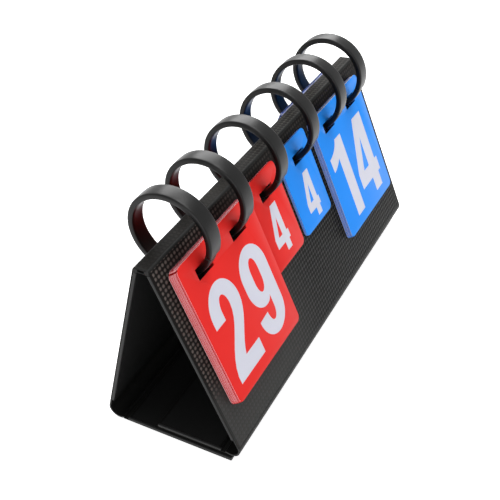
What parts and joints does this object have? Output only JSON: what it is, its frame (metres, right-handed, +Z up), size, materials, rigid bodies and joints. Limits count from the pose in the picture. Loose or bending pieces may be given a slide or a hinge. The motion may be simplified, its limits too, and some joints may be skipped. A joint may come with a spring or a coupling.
{
  "type": "tabletop flip scoreboard",
  "caption": "Folding tent case with binder rings along its spine and red and blue number cards that flip over from front to back to keep score.",
  "frame": {"origin": "middle of the base, on the surface that the case stands on", "axes": "+X along the spine from the red cards to the blue cards, -Y to the front, +Z up"},
  "size_m": [0.203, 0.0712, 0.1218],
  "materials": {
    "vinyl": "embossed black vinyl with a fine dotted grain",
    "black_board": "black bookbinding board",
    "lining": "smooth matt black lining",
    "ring_plastic": "satin black moulded plastic",
    "steel_pin": "plain steel wire",
    "red_card": "satin red printed plastic card with pale numbers",
    "blue_card": "satin blue printed plastic card with pale numbers",
    "tape": "black hook and loop tape"
  },
  "bodies": {
    "front_leg": {"front_leg_skin": "vinyl", "front_leg_board": "black_board", "front_leg_lining": "lining", "front_foot_fold": "vinyl", "red_score_front_pile": "red_card", "blue_score_front_pile": "blue_card", "red_set_front_pile": "red_card", "blue_set_front_pile": "blue_card"},
    "spine": {"spine_skin": "vinyl", "spine_board": "black_board", "spine_lining": "lining", "front_top_fold": "vinyl", "rear_top_fold": "vinyl"},
    "rear_leg": {"rear_leg_skin": "vinyl", "rear_leg_board": "black_board", "rear_leg_lining": "lining", "rear_foot_fold": "vinyl", "red_score_rear_pile": "red_card", "blue_score_rear_pile": "blue_card", "red_set_rear_pile": "red_card", "blue_set_rear_pile": "blue_card"},
    "inner_flap": {"inner_flap_skin": "vinyl", "inner_flap_board": "black_board", "inner_flap_lining": "lining", "hook_tape": "tape"},
    "bottom_flap": {"bottom_flap_skin": "vinyl", "bottom_flap_board": "black_board", "bottom_flap_lining": "lining", "loop_tape": "tape"},
    "ring_1": {"ring_1_lower": "ring_plastic", "ring_1_pin": "steel_pin"},
    "ring_1_top": {"ring_1_upper": "ring_plastic"},
    "ring_2": {"ring_2_lower": "ring_plastic", "ring_2_pin": "steel_pin"},
    "ring_2_top": {"ring_2_upper": "ring_plastic"},
    "ring_3": {"ring_3_lower": "ring_plastic", "ring_3_pin": "steel_pin"},
    "ring_3_top": {"ring_3_upper": "ring_plastic"},
    "ring_4": {"ring_4_lower": "ring_plastic", "ring_4_pin": "steel_pin"},
    "ring_4_top": {"ring_4_upper": "ring_plastic"},
    "ring_5": {"ring_5_lower": "ring_plastic", "ring_5_pin": "steel_pin"},
    "ring_5_top": {"ring_5_upper": "ring_plastic"},
    "ring_6": {"ring_6_lower": "ring_plastic", "ring_6_pin": "steel_pin"},
    "ring_6_top": {"ring_6_upper": "ring_plastic"},
    "red_score_card": {"red_score_front_card": "red_card"},
    "blue_score_card": {"blue_score_front_card": "blue_card"},
    "red_set_card": {"red_set_front_card": "red_card"},
    "blue_set_card": {"blue_set_front_card": "blue_card"}
  },
  "joints": [
    {"name": "bottom_flap_hinge", "type": "hinge", "parent": "rear_leg", "child": "bottom_flap", "pos_m": [0, 0.03057, 0.005], "axis": [1, 0, 0], "range_deg": [0, 109]},
    {"name": "spine_hinge", "type": "hinge", "parent": "front_leg", "child": "spine", "pos_m": [0, -0.00344, 0.09896], "axis": [-1, 0, 0], "range_deg": [0, 15.5]},
    {"name": "rear_leg_hinge", "type": "hinge", "parent": "spine", "child": "rear_leg", "pos_m": [0, 0.00205, 0.09896], "axis": [-1, 0, 0], "range_deg": [0, 15.5]},
    {"name": "inner_flap_hinge", "type": "hinge", "parent": "front_leg", "child": "inner_flap", "pos_m": [0, -0.03057, 0.009], "axis": [1, 0, 0], "range_deg": [0, 79]},
    {"name": "ring_1_turn", "type": "hinge", "parent": "front_leg", "child": "ring_1", "pos_m": [-0.0771, -0.00069, 0.10176], "axis": [-1, 0, 0], "range_deg": [0, 282.12]},
    {"name": "ring_2_turn", "type": "hinge", "parent": "front_leg", "child": "ring_2", "pos_m": [-0.0491, -0.00069, 0.10176], "axis": [-1, 0, 0], "range_deg": [0, 282.12]},
    {"name": "red_score_card_swing", "type": "hinge", "parent": "ring_1", "child": "red_score_card", "pos_m": [-0.0643, -0.01395, 0.08886], "axis": [-1, 0, 0], "range_deg": [0, 39.68]},
    {"name": "ring_3_turn", "type": "hinge", "parent": "front_leg", "child": "ring_3", "pos_m": [-0.016, -0.00069, 0.10176], "axis": [-1, 0, 0], "range_deg": [0, 294.42]},
    {"name": "red_set_card_swing", "type": "hinge", "parent": "ring_3", "child": "red_set_card", "pos_m": [-0.0182, -0.01065, 0.08617], "axis": [-1, 0, 0], "range_deg": [0, 27.38]},
    {"name": "ring_4_turn", "type": "hinge", "parent": "front_leg", "child": "ring_4", "pos_m": [0.0182, -0.00069, 0.10176], "axis": [-1, 0, 0], "range_deg": [0, 294.42]},
    {"name": "blue_set_card_swing", "type": "hinge", "parent": "ring_4", "child": "blue_set_card", "pos_m": [0.0149, -0.01065, 0.08617], "axis": [-1, 0, 0], "range_deg": [0, 27.38]},
    {"name": "ring_5_turn", "type": "hinge", "parent": "front_leg", "child": "ring_5", "pos_m": [0.0515, -0.00069, 0.10176], "axis": [-1, 0, 0], "range_deg": [0, 278.79]},
    {"name": "ring_6_turn", "type": "hinge", "parent": "front_leg", "child": "ring_6", "pos_m": [0.0786, -0.00069, 0.10176], "axis": [-1, 0, 0], "range_deg": [0, 278.79]},
    {"name": "blue_score_card_swing", "type": "hinge", "parent": "ring_5", "child": "blue_score_card", "pos_m": [0.0643, -0.01226, 0.08732], "axis": [-1, 0, 0], "range_deg": [0, 43.01]},
    {"name": "ring_1_open", "type": "hinge", "parent": "ring_1", "child": "ring_1_top", "pos_m": [-0.0771, 0.01145, 0.0878], "axis": [1, 0, 0], "range_deg": [-40, 0]},
    {"name": "ring_2_open", "type": "hinge", "parent": "ring_2", "child": "ring_2_top", "pos_m": [-0.0491, 0.01145, 0.0878], "axis": [1, 0, 0], "range_deg": [-40, 0]},
    {"name": "ring_3_open", "type": "hinge", "parent": "ring_3", "child": "ring_3_top", "pos_m": [-0.016, 0.01145, 0.0878], "axis": [1, 0, 0], "range_deg": [-40, 0]},
    {"name": "ring_4_open", "type": "hinge", "parent": "ring_4", "child": "ring_4_top", "pos_m": [0.0182, 0.01145, 0.0878], "axis": [1, 0, 0], "range_deg": [-40, 0]},
    {"name": "ring_5_open", "type": "hinge", "parent": "ring_5", "child": "ring_5_top", "pos_m": [0.0515, 0.01145, 0.0878], "axis": [1, 0, 0], "range_deg": [-40, 0]},
    {"name": "ring_6_open", "type": "hinge", "parent": "ring_6", "child": "ring_6_top", "pos_m": [0.0786, 0.01145, 0.0878], "axis": [1, 0, 0], "range_deg": [-40, 0]}
  ],
  "couplings": [
    {"joint": "spine_hinge", "follows": "bottom_flap_hinge", "ratio": 0.1422},
    {"joint": "rear_leg_hinge", "follows": "bottom_flap_hinge", "ratio": 0.1422},
    {"joint": "inner_flap_hinge", "follows": "bottom_flap_hinge", "ratio": 0.72477},
    {"joint": "ring_2_turn", "follows": "ring_1_turn", "ratio": 1},
    {"joint": "red_score_card_swing", "follows": "ring_1_turn", "ratio": 0.14066},
    {"joint": "red_set_card_swing", "follows": "ring_3_turn", "ratio": 0.092995},
    {"joint": "blue_set_card_swing", "follows": "ring_4_turn", "ratio": 0.092995},
    {"joint": "ring_6_turn", "follows": "ring_5_turn", "ratio": 1},
    {"joint": "blue_score_card_swing", "follows": "ring_5_turn", "ratio": 0.15428}
  ]
}
